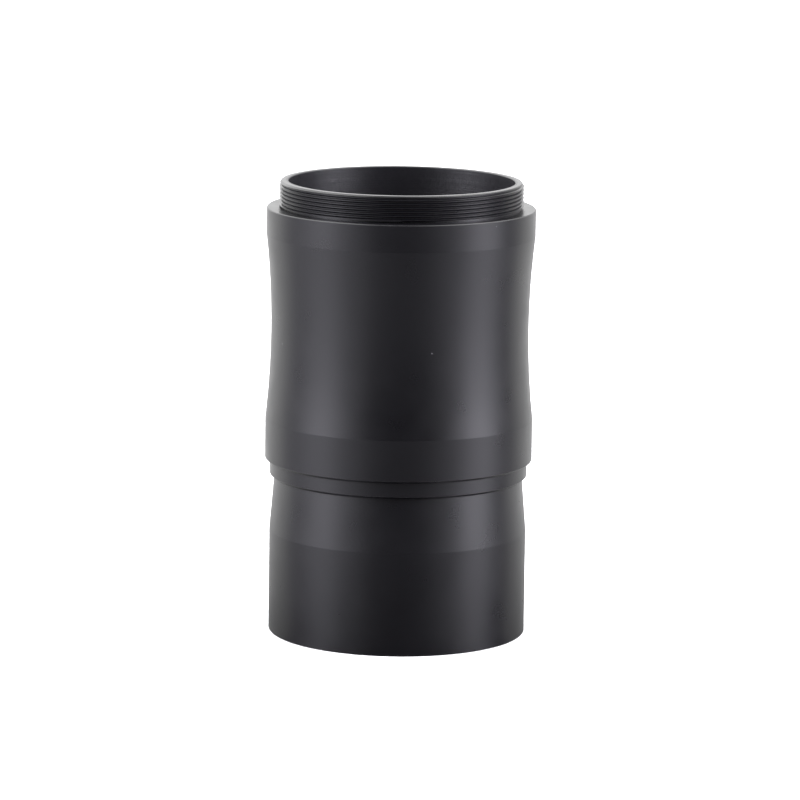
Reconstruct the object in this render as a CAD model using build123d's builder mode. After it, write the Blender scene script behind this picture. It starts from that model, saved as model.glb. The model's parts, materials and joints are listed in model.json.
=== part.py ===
from build123d import *
import os
from math import cos, radians, sin, sqrt, tan

# A laser collimator with a 2-inch nosepiece and an M48 rear thread, in millimetres.
# It stands on the mouth of its nosepiece: Z = 0 is that face, and +Z runs along the axis to the
# threaded rear rim. The beam leaves downwards, through the mouth.

# ---------------------------------------------------------------- driving dimensions
# Outer shell, from the mouth to the rear rim.
BARREL_R = 25.4  # 2-inch nosepiece, 50.8 diameter
BARREL_STRAIGHT_Z = 20.3  # the tapered safety undercut starts here
UNDERCUT_R = 24.5
COLLAR_Z = 31.0
BODY_Z = 34.2  # the body's lower face, which stops against a focuser's drawtube
REGISTER_D = 0.3  # shallow recess in that face for the nosepiece's collar
BAND_R = 26.38
WAIST_R = 25.33
WAIST_LOW_Z = 42.6
WAIST_HIGH_Z = 79.0
SHOULDER_Z = 84.35
RIM_Z = 89.55
EDGE = 0.15  # small broken edges

# M48 x 0.75 threads: male at the rear, female filter thread in the mouth.
PITCH = 0.75
MALE_CREST_R = 23.95
MALE_ROOT_R = 23.49
FEMALE_CREST_R = 23.594
FEMALE_ROOT_R = 24.0
CREST_FLAT = PITCH / 8
ROOT_FLAT = PITCH / 4
RIM_CHAMFER = 0.45
MOUTH_CHAMFER_Z = 0.7
FILTER_THREAD_Z = 6.0
FILTER_RELIEF_Z = 6.8

# Bores of the shell. FIT is the radial clearance of the plain fits and of the inner threads,
# which are modelled as plain mating cylinders.
FIT = 0.05
REAR_BORE_R = 22.2
BORE_R = 20.6
SPIGOT_R = 23.4
SPIGOT_TOP_Z = 41.8
FRONT_BORE_R = 23.25
FRONT_SEAT_Z = 12.5
REAR_SEAT_Z = 72.0

# Front plate, target and their ring.
FRONT_PLATE_T = 3.0
TARGET_T = 0.8
TARGET_R = 23.0
FRONT_RING_T = 1.6
BEAM_HOLE_R = 2.5
TARGET_RINGS = (6.0, 10.0, 14.0, 18.0)
WINDOW_R = 4.5
WINDOW_T = 1.2
WINDOW_CLIP_T = 0.6

# Rear plate, its ring and the three adjusters. Each adjuster is a captive screw in a bush of the
# rear plate: it turns without travel, and draws a nut of the tilt plate up against a spring.
REAR_PLATE_T = 3.5
REAR_RING_T = 2.5
RING_BORE_R = 20.7
ADJUSTER_CIRCLE_R = 17.1
ADJUSTER_ANGLES = (90, -30, 210)
SCREW_R = 1.5
SCREW_HEAD_R = 2.75
SCREW_HEAD_H = 3.0
SCREW_TIP_Z = 61.4
HEAD_WASHER_R = 2.9
HEAD_WASHER_T = 0.5
BUSH_R = 2.5
BUSH_FLANGE_R = 2.9
BUSH_FLANGE_T = 0.6
CLIP_R = 2.1
CLIP_T = 0.5
CLIP_GROOVE_R = 1.15
NUT_R = 2.4
NUT_BOSS_R = 2.1
NUT_BOSS_H = 0.8
NUT_CLEARANCE = 0.1

# Tilt plate with the battery collar. The plate tilts about the middle of its nuts.
TILT_R = 20.2
TILT_LOW_Z = 62.6
TILT_HIGH_Z = 66.6
COLLAR_R = 13.6
COLLAR_TOP_Z = 79.0
COLLAR_HOLE_R = 14.0
CAP_THREAD_R = 12.4
CUP_R = 11.55
SPRING_MEAN_R = 2.55
SPRING_WIRE_R = 0.32

# Laser tube and module.
TUBE_R = 9.0
TUBE_BORE_R = 7.2
TUBE_LOW_Z = 17.0
TUBE_HIGH_Z = 65.6
MODULE_R = 6.0
MODULE_LOW_Z = 24.0
MODULE_HIGH_Z = 52.0
MODULE_BORE_R = 4.55
LENS_CELL_R = 4.5
LENS_R = 3.2
DIODE_Z = 45.0
BOARD_Z = 53.0
BOARD_T = 1.2
GRUB_LEVELS = (28.0, 48.0)

# Coin cell, 20 x 3.2, and its cap.
CELL_R = 10.0
CELL_LOW_Z = 69.6
CELL_T = 3.2
CAP_HEAD_Z = 79.9
CAP_HEAD_R = 13.5
CAP_TOP_Z = 81.5
SEAL_R = 0.42

# Push switch, on the -Y side of the tilt plate.
SWITCH_Y = -16.7
SWITCH_SIDE = 6.0
SWITCH_TOP_Z = 71.4
BUTTON_R = 2.4
BUTTON_TOP_Z = 77.8
TERMINAL_X = 1.5
LEAD_R = 0.45

ORIGIN_SPOT = ((0, 0),)


# ---------------------------------------------------------------- shared shapes
def turn(points, mode=Mode.ADD):
    """Revolve a closed half section, given as (radius, height) points, about the Z axis."""
    with BuildSketch(Plane.XZ) as section:
        with BuildLine():
            Polyline(*points, close=True)
        make_face()
    revolve(section.sketch, axis=Axis.Z, mode=mode)


def ring(outer, inner, low, high, edge=EDGE):
    """A flat ring with its two outer corners broken."""
    turn(
        [
            (inner, low),
            (outer - edge, low),
            (outer, low + edge),
            (outer, high - edge),
            (outer - edge, high),
            (inner, high),
        ]
    )


def post(radius, low, high, spots=ORIGIN_SPOT, mode=Mode.ADD):
    """Upright round posts, or holes, between two heights at each (x, y) spot."""
    with BuildSketch(Plane.XY.offset(low)) as ends:
        with Locations(*spots):
            Circle(radius)
    extrude(ends.sketch, amount=high - low, mode=mode)


def slab(size_x, size_y, low, high, spots=ORIGIN_SPOT, mode=Mode.ADD):
    """Upright rectangular blocks, or pockets, between two heights at each (x, y) spot."""
    with BuildSketch(Plane.XY.offset(low)) as ends:
        with Locations(*spots):
            Rectangle(size_x, size_y)
    extrude(ends.sketch, amount=high - low, mode=mode)


def hex_socket(across_flats, low, high, spots=ORIGIN_SPOT):
    """Hexagon key sockets cut down from one height to another."""
    with BuildSketch(Plane.XY.offset(low)) as ends:
        with Locations(*spots):
            RegularPolygon(radius=across_flats / 2, side_count=6, major_radius=False)
    extrude(ends.sketch, amount=high - low, mode=Mode.SUBTRACT)


def spanner_slots(radius, width, depth, low, high):
    """Four slots across a ring, for a pin spanner."""
    with BuildSketch(Plane.XY.offset(low)) as ends:
        with PolarLocations(radius, 4):
            Rectangle(depth, width)
    extrude(ends.sketch, amount=high - low, mode=Mode.SUBTRACT)


def knurl(radius, count, groove, low, high):
    """Straight knurling: round-bottomed grooves along a cylinder."""
    with BuildSketch(Plane.XY.offset(low)) as ends:
        with PolarLocations(radius, count):
            Circle(groove)
    extrude(ends.sketch, amount=high - low, mode=Mode.SUBTRACT)


def around(radius, angles):
    """The (x, y) spots on a circle at these angles in degrees."""
    return [(radius * cos(radians(a)), radius * sin(radians(a))) for a in angles]


def radial_plane(angle, radius, level):
    """A plane square to one radius of the object, facing outwards, at this radius and height."""
    outward = Vector(cos(radians(angle)), sin(radians(angle)), 0)
    return Plane(origin=outward * radius + Vector(0, 0, level), x_dir=(0, 0, 1), z_dir=outward)


def thread_groove(root, crest):
    """One turn of a thread's V groove, from its root out past its crest, starting at Z = 0 on -Y."""
    past = 0.06 if crest > root else -0.06
    flank = (PITCH - CREST_FLAT - ROOT_FLAT) / 2 / abs(crest - root)
    root_half = ROOT_FLAT / 2 if crest > root else CREST_FLAT / 2
    mouth_half = root_half + flank * abs(crest + past - root)
    with BuildPart() as groove:
        with BuildLine() as path:
            Helix(pitch=PITCH, height=PITCH, radius=root)
        with BuildSketch(Plane(origin=path.wire() @ 0, x_dir=(1, 0, 0), z_dir=path.wire() % 0)):
            with BuildLine():
                Polyline(
                    (0, -root_half),
                    (crest + past - root, -mouth_half),
                    (crest + past - root, mouth_half),
                    (0, root_half),
                    close=True,
                )
            make_face()
        sweep(path=path.wire(), is_frenet=True)
    return groove.part.rotate(Axis.Z, -90)


def cut_thread(groove, start, turns):
    """Cut a thread one turn at a time, upwards from a start height."""
    for k in range(turns):
        with Locations((0, 0, start + k * PITCH)):
            add(groove, mode=Mode.SUBTRACT)


def coil(mean_radius, wire_radius, low, high, turns):
    """A round-wire compression spring about the Z axis that stands between two heights."""
    gap = 0.02
    rise = high - low - 2 * (wire_radius + gap)
    with BuildPart() as spring:
        with BuildLine() as path:
            Helix(
                pitch=rise / turns,
                height=rise,
                radius=mean_radius,
                center=(0, 0, low + wire_radius + gap),
            )
        with BuildSketch(Plane(origin=path.wire() @ 0, z_dir=path.wire() % 0)):
            Circle(wire_radius)
        sweep(path=path.wire(), is_frenet=True)
    return spring.part


def bend_radii(points):
    """The largest arc for each corner of a lead: 0.45 of the shorter run over tan(half the turn)."""
    corners = [Vector(*p) for p in points]
    runs = [b - a for a, b in zip(corners, corners[1:])]
    radii = []
    for before, after in zip(runs, runs[1:]):
        half_turn = radians(before.get_angle(after)) / 2
        radii.append(0.45 * min(before.length, after.length) / tan(half_turn))
    return radii


def lead(points):
    """An insulated lead of round section along straight runs joined by tangent arcs."""
    radii = bend_radii(points)
    print("lead bend radii", [round(r, 2) for r in radii])
    with BuildLine() as route:
        FilletPolyline(*points, radius=radii)
    with BuildSketch(Plane(origin=route.wire() @ 0, z_dir=route.wire() % 0)) as section:
        Circle(LEAD_R)
    sweep(section.sketch, path=route.wire())


adjuster_spots = around(ADJUSTER_CIRCLE_R, ADJUSTER_ANGLES)
pieces = {}

# ---------------------------------------------------------------- shell
male_groove = thread_groove(MALE_ROOT_R, MALE_CREST_R)
female_groove = thread_groove(FEMALE_ROOT_R, FEMALE_CREST_R)

# Waisted body: an upper and a lower band with a shallow hollow curve between them.
RELIEF_R = MALE_ROOT_R - 0.04
RELIEF_TOP_Z = SHOULDER_Z + 0.35
BODY_CHAMFER = 0.45
COLLAR_SEAT_Z = BODY_Z + REGISTER_D
with BuildPart() as rear_body:
    with BuildSketch(Plane.XZ):
        with BuildLine():
            waist = ThreePointArc(
                (BAND_R, WAIST_LOW_Z),
                (WAIST_R, (WAIST_LOW_Z + WAIST_HIGH_Z) / 2),
                (BAND_R, WAIST_HIGH_Z),
            )
            Polyline(
                waist @ 1,
                (BAND_R, SHOULDER_Z - EDGE),
                (BAND_R - EDGE, SHOULDER_Z),
                (RELIEF_R, SHOULDER_Z),
                (RELIEF_R, RELIEF_TOP_Z),
                (MALE_CREST_R, RELIEF_TOP_Z),
                (MALE_CREST_R, RIM_Z - RIM_CHAMFER),
                (MALE_CREST_R - RIM_CHAMFER, RIM_Z),
                (REAR_BORE_R + EDGE, RIM_Z),
                (REAR_BORE_R, RIM_Z - EDGE),
                (REAR_BORE_R, REAR_SEAT_Z),
                (BORE_R, REAR_SEAT_Z),
                (BORE_R, SPIGOT_TOP_Z + 0.2),
                (SPIGOT_R + FIT, SPIGOT_TOP_Z + 0.2),
                (SPIGOT_R + FIT, COLLAR_SEAT_Z),
                (BARREL_R + FIT, COLLAR_SEAT_Z),
                (BARREL_R + FIT, BODY_Z),
                (BAND_R - BODY_CHAMFER, BODY_Z),
                (BAND_R, BODY_Z + BODY_CHAMFER),
                waist @ 0,
            )
        make_face()
    revolve(axis=Axis.Z)
    cut_thread(male_groove, SHOULDER_Z + 0.225, 7)
pieces["rear_body"] = rear_body

# Nosepiece: straight 2-inch barrel, tapered undercut, collar and the spigot that screws into the body.
COLLAR_CHAMFER = 0.45
SPIGOT_CHAMFER = 0.5
MOUTH_R = 24.3
with BuildPart() as nosepiece_barrel:
    turn(
        [
            (MOUTH_R, 0),
            (BARREL_R - EDGE, 0),
            (BARREL_R, EDGE),
            (BARREL_R, BARREL_STRAIGHT_Z),
            (UNDERCUT_R, COLLAR_Z),
            (BARREL_R - COLLAR_CHAMFER, COLLAR_Z),
            (BARREL_R, COLLAR_Z + COLLAR_CHAMFER),
            (BARREL_R, COLLAR_SEAT_Z - EDGE),
            (BARREL_R - EDGE, COLLAR_SEAT_Z),
            (SPIGOT_R, COLLAR_SEAT_Z),
            (SPIGOT_R, SPIGOT_TOP_Z - SPIGOT_CHAMFER),
            (SPIGOT_R - SPIGOT_CHAMFER, SPIGOT_TOP_Z),
            (BORE_R, SPIGOT_TOP_Z),
            (BORE_R, FRONT_SEAT_Z),
            (FRONT_BORE_R, FRONT_SEAT_Z),
            (FRONT_BORE_R, FILTER_RELIEF_Z),
            (FEMALE_ROOT_R + FIT, FILTER_RELIEF_Z),
            (FEMALE_ROOT_R + FIT, FILTER_THREAD_Z),
            (FEMALE_CREST_R, FILTER_THREAD_Z),
            (FEMALE_CREST_R, MOUTH_CHAMFER_Z),
        ]
    )
    cut_thread(female_groove, 0.25, 8)
pieces["nosepiece_barrel"] = nosepiece_barrel

# ---------------------------------------------------------------- front plate and target
FRONT_PLATE_Z = FRONT_SEAT_Z - FRONT_PLATE_T
TARGET_Z = FRONT_PLATE_Z - TARGET_T
FRONT_RING_Z = TARGET_Z - FRONT_RING_T
WINDOW_Z = FRONT_SEAT_Z - WINDOW_CLIP_T - WINDOW_T

with BuildPart() as front_plate:
    ring(FRONT_BORE_R - FIT, BEAM_HOLE_R, FRONT_PLATE_Z, FRONT_SEAT_Z)
    post(WINDOW_R + FIT, WINDOW_Z, FRONT_SEAT_Z, mode=Mode.SUBTRACT)
pieces["front_plate"] = front_plate

RING_LINE_W = 0.5
RING_LINE_D = 0.2
with BuildPart() as target_face:
    ring(TARGET_R, BEAM_HOLE_R, TARGET_Z, FRONT_PLATE_Z, edge=0.1)
    for r in TARGET_RINGS:
        half = RING_LINE_W / 2
        turn(
            [
                (r - half, TARGET_Z),
                (r + half, TARGET_Z),
                (r + half, TARGET_Z + RING_LINE_D),
                (r - half, TARGET_Z + RING_LINE_D),
            ],
            mode=Mode.SUBTRACT,
        )
pieces["target_face"] = target_face

with BuildPart() as front_retaining_ring:
    ring(FRONT_BORE_R - FIT, BORE_R, FRONT_RING_Z, TARGET_Z)
    spanner_slots(BORE_R, 2.0, 2.4, FRONT_RING_Z, FRONT_RING_Z + 0.8)
pieces["front_retaining_ring"] = front_retaining_ring

with BuildPart() as beam_window:
    post(WINDOW_R, WINDOW_Z, WINDOW_Z + WINDOW_T)
    chamfer(beam_window.edges(), EDGE)
pieces["beam_window"] = beam_window

with BuildPart() as window_clip:
    ring(WINDOW_R, WINDOW_R - 0.9, WINDOW_Z + WINDOW_T, FRONT_SEAT_Z, edge=0.1)
    slab(2.0, 1.0, WINDOW_Z + WINDOW_T, FRONT_SEAT_Z, spots=((WINDOW_R - 0.4, 0),), mode=Mode.SUBTRACT)
pieces["window_clip"] = window_clip

# ---------------------------------------------------------------- rear plate and adjusters
REAR_PLATE_TOP_Z = REAR_SEAT_Z + REAR_PLATE_T
BUTTON_HOLE_R = 2.9
with BuildPart() as rear_plate:
    ring(REAR_BORE_R - FIT, COLLAR_HOLE_R, REAR_SEAT_Z, REAR_PLATE_TOP_Z)
    post(BUSH_R + 0.02, REAR_SEAT_Z, REAR_PLATE_TOP_Z, adjuster_spots, mode=Mode.SUBTRACT)
    post(BUTTON_HOLE_R, REAR_SEAT_Z, REAR_PLATE_TOP_Z, ((0, SWITCH_Y),), mode=Mode.SUBTRACT)
pieces["rear_plate"] = rear_plate

with BuildPart() as rear_retaining_ring:
    ring(REAR_BORE_R - FIT, RING_BORE_R, REAR_PLATE_TOP_Z, REAR_PLATE_TOP_Z + REAR_RING_T)
    spanner_slots(
        RING_BORE_R, 2.5, 4.0, REAR_PLATE_TOP_Z + REAR_RING_T - 1.2, REAR_PLATE_TOP_Z + REAR_RING_T
    )
pieces["rear_retaining_ring"] = rear_retaining_ring

with BuildPart() as adjuster_bushes:
    post(BUSH_R, REAR_SEAT_Z, REAR_PLATE_TOP_Z, adjuster_spots)
    post(BUSH_FLANGE_R, REAR_SEAT_Z - BUSH_FLANGE_T, REAR_SEAT_Z, adjuster_spots)
    post(SCREW_R + FIT, REAR_SEAT_Z - BUSH_FLANGE_T, REAR_PLATE_TOP_Z, adjuster_spots, mode=Mode.SUBTRACT)
pieces["adjuster_bushes"] = adjuster_bushes

WASHER_LIFT = 0.02
SCREW_HEAD_Z = REAR_PLATE_TOP_Z + HEAD_WASHER_T + 2 * WASHER_LIFT
with BuildPart() as head_washers:
    washer_z = REAR_PLATE_TOP_Z + WASHER_LIFT
    post(HEAD_WASHER_R, washer_z, washer_z + HEAD_WASHER_T, adjuster_spots)
    post(SCREW_R + 2 * FIT, washer_z, washer_z + HEAD_WASHER_T, adjuster_spots, mode=Mode.SUBTRACT)
pieces["head_washers"] = head_washers

CLIP_TOP_Z = REAR_SEAT_Z - BUSH_FLANGE_T - 0.1
SCREW_TOP_Z = SCREW_HEAD_Z + SCREW_HEAD_H
SCREW_TIP_CHAMFER = 0.3
SOCKET_AF = 2.5
SOCKET_D = 1.6
for number, (x, y) in enumerate(adjuster_spots, start=1):
    spot = ((x, y),)
    with BuildPart() as screw:
        post(SCREW_R, SCREW_TIP_Z, SCREW_HEAD_Z, spot)
        chamfer(screw.edges().group_by(Axis.Z)[0], SCREW_TIP_CHAMFER)
        post(SCREW_HEAD_R, SCREW_HEAD_Z, SCREW_TOP_Z, spot)
        chamfer(screw.edges().filter_by(GeomType.CIRCLE).group_by(Axis.Z)[-1], 0.3)
        hex_socket(SOCKET_AF, SCREW_TOP_Z - SOCKET_D, SCREW_TOP_Z, spot)
        with BuildSketch(Plane.XY.offset(CLIP_TOP_Z - CLIP_T)) as groove:
            with Locations((x, y)):
                Circle(SCREW_R + FIT)
                Circle(CLIP_GROOVE_R, mode=Mode.SUBTRACT)
        extrude(groove.sketch, amount=CLIP_T, mode=Mode.SUBTRACT)
        with Locations((x, y, 0)):
            knurl(SCREW_HEAD_R + 0.08, 24, 0.22, SCREW_HEAD_Z + 0.4, SCREW_TOP_Z)
    pieces[f"adjusting_screw_{number}"] = screw

# Open spring clips that hold the screws captive under their bushes.
CLIP_GAP_W = 1.6
CLIP_PLAY = 0.03
with BuildPart() as screw_clips:
    post(CLIP_R, CLIP_TOP_Z - CLIP_T + CLIP_PLAY, CLIP_TOP_Z - CLIP_PLAY, adjuster_spots)
    post(CLIP_GROOVE_R + CLIP_PLAY, CLIP_TOP_Z - CLIP_T, CLIP_TOP_Z, adjuster_spots, mode=Mode.SUBTRACT)
    clip_gaps = [(x, y + CLIP_R) for x, y in adjuster_spots]
    slab(CLIP_GAP_W, 2 * CLIP_R, CLIP_TOP_Z - CLIP_T, CLIP_TOP_Z, clip_gaps, mode=Mode.SUBTRACT)
pieces["screw_clips"] = screw_clips

# ---------------------------------------------------------------- tilt plate and its springs
CUP_SEAT_Z = 67.0
CAP_THREAD_Z = 73.5
one_spring = coil(SPRING_MEAN_R, SPRING_WIRE_R, TILT_HIGH_Z, REAR_SEAT_Z - BUSH_FLANGE_T, 4)
with BuildPart() as adjuster_springs:
    with Locations(*adjuster_spots):
        add(one_spring)
pieces["adjuster_springs"] = adjuster_springs

with BuildPart() as tilt_plate:
    turn(
        [
            (TUBE_R + FIT, TILT_LOW_Z),
            (TILT_R - EDGE, TILT_LOW_Z),
            (TILT_R, TILT_LOW_Z + EDGE),
            (TILT_R, TILT_HIGH_Z - EDGE),
            (TILT_R - EDGE, TILT_HIGH_Z),
            (COLLAR_R, TILT_HIGH_Z),
            (COLLAR_R, COLLAR_TOP_Z - EDGE),
            (COLLAR_R - EDGE, COLLAR_TOP_Z),
            (CAP_THREAD_R, COLLAR_TOP_Z),
            (CAP_THREAD_R, CAP_THREAD_Z),
            (CUP_R + FIT, CAP_THREAD_Z),
            (CUP_R + FIT, CUP_SEAT_Z),
            (TUBE_BORE_R - 1.0, CUP_SEAT_Z),
            (TUBE_BORE_R - 1.0, TUBE_HIGH_Z),
            (TUBE_R + FIT, TUBE_HIGH_Z),
        ]
    )
    post(NUT_R, TILT_LOW_Z, TILT_HIGH_Z, adjuster_spots, mode=Mode.SUBTRACT)
    slab(5.0, 2.0, TILT_LOW_Z, TILT_HIGH_Z, spots=((0, SWITCH_Y),), mode=Mode.SUBTRACT)
pieces["tilt_plate"] = tilt_plate

# Brass nuts pressed into the tilt plate. Their bosses centre the springs.
with BuildPart() as adjuster_nuts:
    post(NUT_R, TILT_LOW_Z, TILT_HIGH_Z, adjuster_spots)
    post(NUT_BOSS_R, TILT_HIGH_Z, TILT_HIGH_Z + NUT_BOSS_H, adjuster_spots)
    nut_bore_r = SCREW_R + NUT_CLEARANCE
    post(nut_bore_r, TILT_LOW_Z, TILT_HIGH_Z + NUT_BOSS_H, adjuster_spots, mode=Mode.SUBTRACT)
pieces["adjuster_nuts"] = adjuster_nuts

# ---------------------------------------------------------------- laser tube and module
WIRE_SLOT_LOW_Z = 56.2
WIRE_SLOT_HIGH_Z = 59.8
GRUB_R = 1.5
GRUB_ANGLES = (90, 210, 330)
TUBE_WALL_Z = TUBE_LOW_Z + 1.5
with BuildPart() as laser_tube:
    turn(
        [
            (BEAM_HOLE_R, TUBE_LOW_Z),
            (TUBE_R - 0.5, TUBE_LOW_Z),
            (TUBE_R, TUBE_LOW_Z + 0.5),
            (TUBE_R, TUBE_HIGH_Z),
            (TUBE_BORE_R, TUBE_HIGH_Z),
            (TUBE_BORE_R, TUBE_WALL_Z),
            (BEAM_HOLE_R, TUBE_WALL_Z),
        ]
    )
    for level in GRUB_LEVELS:
        for angle in GRUB_ANGLES:
            with BuildSketch(radial_plane(angle, TUBE_BORE_R - 0.5, level)):
                Circle(GRUB_R + FIT)
            extrude(amount=TUBE_R - TUBE_BORE_R + 1.0, mode=Mode.SUBTRACT)
    slab(
        5.0,
        TUBE_R - TUBE_BORE_R + 1.0,
        WIRE_SLOT_LOW_Z,
        WIRE_SLOT_HIGH_Z,
        spots=((0, -(TUBE_R + TUBE_BORE_R) / 2),),
        mode=Mode.SUBTRACT,
    )
pieces["laser_tube"] = laser_tube

LOCK_RING_T = 2.4
LOCK_RING_R = 12.0
LOCK_RING_Z = TILT_LOW_Z - LOCK_RING_T
with BuildPart() as tube_lock_ring:
    ring(LOCK_RING_R, TUBE_R + FIT, LOCK_RING_Z, TILT_LOW_Z)
    spanner_slots(LOCK_RING_R, 2.0, 2.4, LOCK_RING_Z, LOCK_RING_Z + LOCK_RING_T / 2)
pieces["tube_lock_ring"] = tube_lock_ring

# Six grub screws in two rows hold the module and set its beam along the nosepiece's axis.
GRUB_TIP_R = MODULE_R + 0.03
GRUB_END_R = TUBE_R - 0.1
GRUB_SOCKET_AF = 1.5
GRUB_SOCKET_D = 1.2
with BuildPart() as module_grub_screws:
    for level in GRUB_LEVELS:
        for angle in GRUB_ANGLES:
            with BuildSketch(radial_plane(angle, GRUB_TIP_R, level)):
                Circle(GRUB_R)
            extrude(amount=GRUB_END_R - GRUB_TIP_R)
            with BuildSketch(radial_plane(angle, GRUB_END_R - GRUB_SOCKET_D, level)):
                RegularPolygon(radius=GRUB_SOCKET_AF / 2, side_count=6, major_radius=False)
            extrude(amount=GRUB_SOCKET_D, mode=Mode.SUBTRACT)
pieces["module_grub_screws"] = module_grub_screws

MODULE_WEB_Z = 42.0
DIODE_POCKET_TOP_Z = 47.0
DIODE_FLANGE_R = 2.8
DIODE_CAN_R = 1.8
DIODE_FLANGE_T = 1.2
with BuildPart() as module_barrel:
    turn(
        [
            (MODULE_BORE_R, MODULE_LOW_Z),
            (MODULE_R - 0.3, MODULE_LOW_Z),
            (MODULE_R, MODULE_LOW_Z + 0.3),
            (MODULE_R, MODULE_HIGH_Z - 0.3),
            (MODULE_R - 0.3, MODULE_HIGH_Z),
            (LENS_CELL_R, MODULE_HIGH_Z),
            (LENS_CELL_R, DIODE_POCKET_TOP_Z),
            (DIODE_FLANGE_R + FIT, DIODE_POCKET_TOP_Z),
            (DIODE_FLANGE_R + FIT, DIODE_Z),
            (DIODE_CAN_R + 0.2, DIODE_Z),
            (DIODE_CAN_R + 0.2, MODULE_WEB_Z),
            (MODULE_BORE_R, MODULE_WEB_Z),
        ]
    )
pieces["module_barrel"] = module_barrel

LENS_CELL_Z = 24.8
LENS_CELL_TOP_Z = 31.8
LENS_Z = 27.6
LENS_EDGE_T = 1.2
LENS_T = 1.9
CELL_APERTURE_R = 2.2
with BuildPart() as lens_cell:
    turn(
        [
            (CELL_APERTURE_R, LENS_CELL_Z),
            (LENS_CELL_R, LENS_CELL_Z),
            (LENS_CELL_R, LENS_CELL_TOP_Z),
            (LENS_R + FIT, LENS_CELL_TOP_Z),
            (LENS_R + FIT, LENS_Z),
            (LENS_R - 0.5, LENS_Z),
            (LENS_R - 0.5, LENS_CELL_Z + 1.0),
            (CELL_APERTURE_R, LENS_CELL_Z + 1.0),
        ]
    )
    slab(2 * LENS_CELL_R, 0.8, LENS_CELL_Z, LENS_CELL_Z + 0.7, mode=Mode.SUBTRACT)
pieces["lens_cell"] = lens_cell

with BuildPart() as collimating_lens:
    with BuildSketch(Plane.XZ):
        with BuildLine():
            dome_r = (LENS_R**2 + (LENS_T - LENS_EDGE_T) ** 2) / (2 * (LENS_T - LENS_EDGE_T))
            half_r = LENS_R / 2
            half_z = LENS_Z + LENS_T - dome_r + sqrt(dome_r**2 - half_r**2)
            ThreePointArc((0, LENS_Z + LENS_T), (half_r, half_z), (LENS_R, LENS_Z + LENS_EDGE_T))
            Polyline((LENS_R, LENS_Z + LENS_EDGE_T), (LENS_R, LENS_Z), (0, LENS_Z), (0, LENS_Z + LENS_T))
        make_face()
    revolve(axis=Axis.Z)
pieces["collimating_lens"] = collimating_lens

focus_coil = coil(3.8, 0.3, LENS_CELL_TOP_Z, MODULE_WEB_Z, 5)
with BuildPart() as lens_spring:
    add(focus_coil)
pieces["lens_spring"] = lens_spring

PIN_SPOTS = around(1.27, (30, 150, 270))
PIN_R = 0.22
DIODE_CAN_H = 2.3
with BuildPart() as laser_diode:
    post(DIODE_FLANGE_R, DIODE_Z, DIODE_Z + DIODE_FLANGE_T)
    post(DIODE_CAN_R, DIODE_Z - DIODE_CAN_H, DIODE_Z)
    post(0.8, DIODE_Z - DIODE_CAN_H, DIODE_Z - DIODE_CAN_H + 0.3, mode=Mode.SUBTRACT)
    post(PIN_R, DIODE_Z + DIODE_FLANGE_T, BOARD_Z + BOARD_T + 0.4, PIN_SPOTS)
pieces["laser_diode"] = laser_diode

BOARD_R = 6.8
BOARD_TOP_Z = BOARD_Z + BOARD_T
with BuildPart() as driver_board:
    post(BOARD_R, BOARD_Z, BOARD_TOP_Z)
    post(PIN_R + 0.08, BOARD_Z, BOARD_TOP_Z, PIN_SPOTS, mode=Mode.SUBTRACT)
pieces["driver_board"] = driver_board

# Regulator, two chip capacitors and a resistor.
with BuildPart() as driver_components:
    slab(3.0, 2.6, BOARD_TOP_Z, BOARD_TOP_Z + 1.3, spots=((-3.6, 1.2),))
    slab(1.6, 0.8, BOARD_TOP_Z, BOARD_TOP_Z + 0.8, spots=((4.4, -1.2), (-4.0, -1.8)))
    slab(0.8, 1.6, BOARD_TOP_Z, BOARD_TOP_Z + 0.5, spots=((0, 4.6),))
pieces["driver_components"] = driver_components

# ---------------------------------------------------------------- battery
CUP_TOP_Z = 72.6
CUP_FLOOR_Z = CUP_SEAT_Z + 1.0
TAB_R = 0.9
with BuildPart() as battery_cup:
    turn(
        [
            (TAB_R + 0.3, CUP_SEAT_Z),
            (CUP_R, CUP_SEAT_Z),
            (CUP_R, CUP_TOP_Z),
            (CELL_R + 0.15, CUP_TOP_Z),
            (CELL_R + 0.15, CUP_FLOOR_Z),
            (TAB_R + 0.3, CUP_FLOOR_Z),
        ]
    )
pieces["battery_cup"] = battery_cup

CONTACT_T = 0.3
CONTACT_TAB_Z = 66.2
contact_coil = coil(3.2, 0.25, CUP_FLOOR_Z + CONTACT_T, CELL_LOW_Z, 1.75)
with BuildPart() as battery_contact:
    post(4.2, CUP_FLOOR_Z, CUP_FLOOR_Z + CONTACT_T)
    post(TAB_R, CONTACT_TAB_Z, CUP_FLOOR_Z)
pieces["battery_contact"] = battery_contact

with BuildPart() as battery_contact_spring:
    add(contact_coil)
pieces["battery_contact_spring"] = battery_contact_spring

CELL_STEP = 0.3
with BuildPart() as coin_cell:
    turn(
        [
            (0, CELL_LOW_Z),
            (CELL_R - 1.4, CELL_LOW_Z),
            (CELL_R - 1.4, CELL_LOW_Z + CELL_STEP),
            (CELL_R - 0.3, CELL_LOW_Z + CELL_STEP),
            (CELL_R, CELL_LOW_Z + CELL_STEP + 0.3),
            (CELL_R, CELL_LOW_Z + CELL_T - EDGE),
            (CELL_R - EDGE, CELL_LOW_Z + CELL_T),
            (0, CELL_LOW_Z + CELL_T),
        ]
    )
pieces["coin_cell"] = coin_cell

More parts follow.
